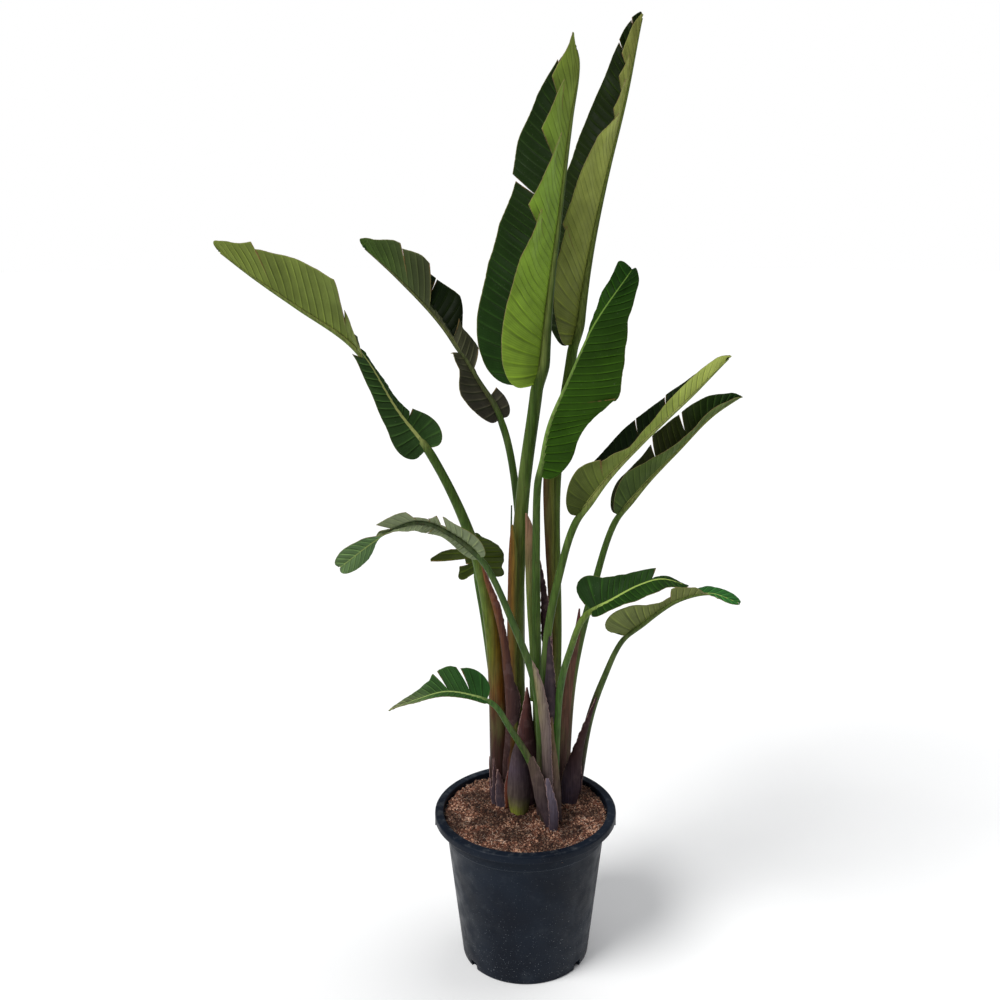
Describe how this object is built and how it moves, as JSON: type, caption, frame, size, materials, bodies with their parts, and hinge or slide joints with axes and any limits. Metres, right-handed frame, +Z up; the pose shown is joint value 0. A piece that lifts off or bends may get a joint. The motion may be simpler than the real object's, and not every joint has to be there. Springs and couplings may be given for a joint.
{
  "type": "potted bird of paradise plant",
  "caption": "Large-leaved bird of paradise plant with tall stalks and folded, split paddle leaves, standing in soil in a round dark nursery pot.",
  "frame": {"origin": "middle of the pot's underside", "axes": "+Z up, the front of the plant along -Y, +X to the right of someone who faces that front"},
  "size_m": [0.7974, 0.3637, 1.5415],
  "materials": {
    "pot_plastic": "satin moulded plastic, very dark blue-grey, with pale dust",
    "soil": "loose reddish-brown coir and peat with pale fibres",
    "stalk": "smooth and waxy, green above, brown to maroon near the soil",
    "blade": "glossy dark green upper face, matt olive to yellow-green underside, fine parallel veins",
    "young_leaf": "smooth dark green",
    "old_sheath": "dry and papery, grey-mauve to maroon with pale torn edges"
  },
  "bodies": {
    "root": {"pot": "pot_plastic", "soil": "soil", "leaf_01_stalk": "stalk", "leaf_01_blade": "blade", "leaf_02_stalk": "stalk", "leaf_02_blade": "blade", "leaf_03_stalk": "stalk", "leaf_03_blade": "blade", "leaf_04_stalk": "stalk", "leaf_04_blade": "blade", "leaf_05_stalk": "stalk", "leaf_05_blade": "blade", "leaf_06_stalk": "stalk", "leaf_06_blade": "blade", "leaf_07_stalk": "stalk", "leaf_07_blade": "blade", "leaf_08_stalk": "stalk", "leaf_08_blade": "blade", "leaf_09_stalk": "stalk", "leaf_09_blade": "blade", "leaf_10_stalk": "stalk", "leaf_10_blade": "blade", "leaf_11_stalk": "stalk", "leaf_11_blade": "blade", "leaf_12_stalk": "stalk", "leaf_12_blade": "blade", "spear": "young_leaf", "sheath_01": "old_sheath", "sheath_02": "old_sheath", "sheath_03": "old_sheath", "sheath_04": "old_sheath", "sheath_05": "old_sheath"}
  },
  "joints": []
}
